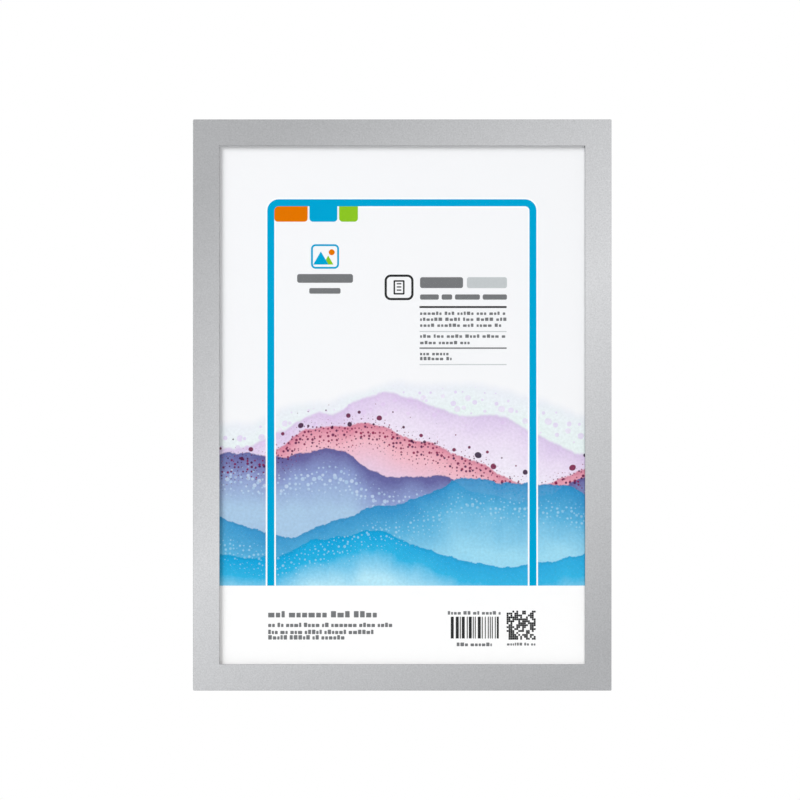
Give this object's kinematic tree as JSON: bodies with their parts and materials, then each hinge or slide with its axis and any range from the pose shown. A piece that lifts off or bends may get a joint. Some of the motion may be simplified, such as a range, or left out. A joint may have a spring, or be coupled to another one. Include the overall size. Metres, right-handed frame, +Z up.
{
  "type": "magnetic display frame",
  "caption": "Magnetic fold-back display frame: a silver cover with a clear window, hinged on a self-adhesive back that holds a printed sheet.",
  "frame": {"origin": "centre of the bezel's outline, in the plane where the closed cover meets the back half; the hinge's bead puts the box's own centre 0.16 mm to its left", "axes": "+X to the right, +Z up, -Y towards the viewer, +Y into the wall"},
  "size_m": [0.2383, 0.0035, 0.325],
  "materials": {
    "silver_foil": "satin metallic silver",
    "clear_film": "clear, glossy",
    "clear_panel": "clear, slightly frosted",
    "magnet_rubber": "matt dark brown",
    "paper": null,
    "tape": "translucent, slightly yellow"
  },
  "bodies": {
    "back_half": {"back_panel": "clear_panel", "insert_sheet": "paper", "back_magnet_top": "magnet_rubber", "back_magnet_bottom": "magnet_rubber", "back_magnet_left": "magnet_rubber", "back_magnet_right": "magnet_rubber", "back_facing_film": "clear_film", "back_hinge_leaf": "clear_film", "adhesive_tape_top": "tape", "adhesive_tape_bottom": "tape", "adhesive_tape_left": "tape", "adhesive_tape_right": "tape"},
    "cover": {"front_bezel": "silver_foil", "window_film": "clear_film", "cover_magnet_top": "magnet_rubber", "cover_magnet_bottom": "magnet_rubber", "cover_magnet_left": "magnet_rubber", "cover_magnet_right": "magnet_rubber", "cover_facing_film": "clear_film", "cover_hinge_leaf": "clear_film"}
  },
  "joints": [
    {"name": "cover_hinge", "type": "hinge", "parent": "back_half", "child": "cover", "pos_m": [-0.1192, 0, 0], "axis": [0, 0, -1], "range_deg": [0, 180]}
  ]
}
